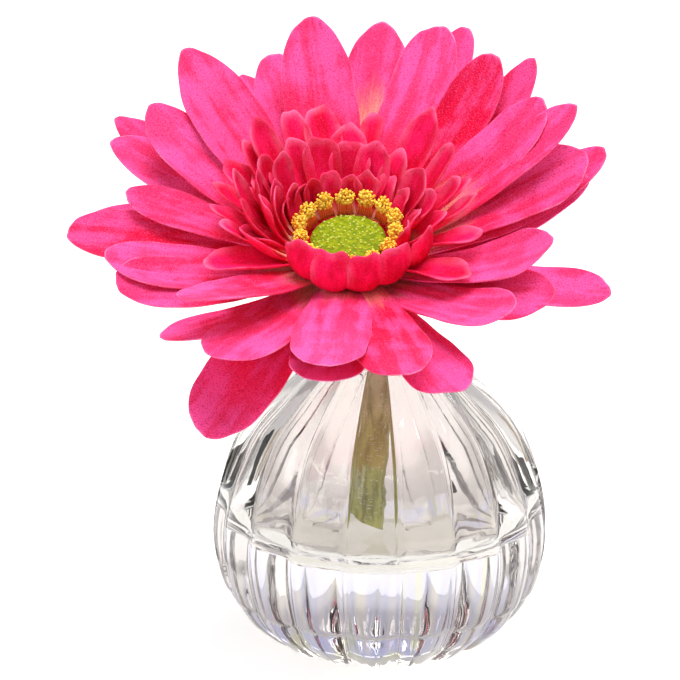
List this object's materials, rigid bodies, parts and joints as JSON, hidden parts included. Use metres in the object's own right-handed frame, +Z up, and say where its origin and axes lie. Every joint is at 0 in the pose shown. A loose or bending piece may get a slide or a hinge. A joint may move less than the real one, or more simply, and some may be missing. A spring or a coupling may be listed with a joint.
{
  "type": "artificial gerbera in a glass bud vase",
  "caption": "Single fabric gerbera with layered hot-pink petals, standing in a small round fluted clear-glass bud vase.",
  "frame": {"origin": "centre of the vase's flat foot", "axes": "+Z up along the vase's axis; the bloom's face leans towards -Y; +X is to the right of somebody who faces the bloom"},
  "size_m": [0.1212, 0.1132, 0.1383],
  "materials": {
    "clear_glass": "clear pressed glass, smooth and glossy",
    "stem_plastic": "olive-green coating over wire, satin",
    "calyx_plastic": "moulded leaf-green plastic, matt",
    "pink_fabric": "dyed woven fabric with soft lengthwise pleats, matt",
    "stamen_fibre": "yellow granular flocking on orange filaments, matt",
    "seed_plastic": "yellow-green base with small glossy beads"
  },
  "bodies": {
    "root": {"vase": "clear_glass", "stem": "stem_plastic", "calyx": "calyx_plastic", "ray_petals_lower": "pink_fabric", "ray_petals_middle": "pink_fabric", "ray_petals_upper": "pink_fabric", "short_petals": "pink_fabric", "stamens": "stamen_fibre", "seed_dome": "seed_plastic"}
  },
  "joints": []
}
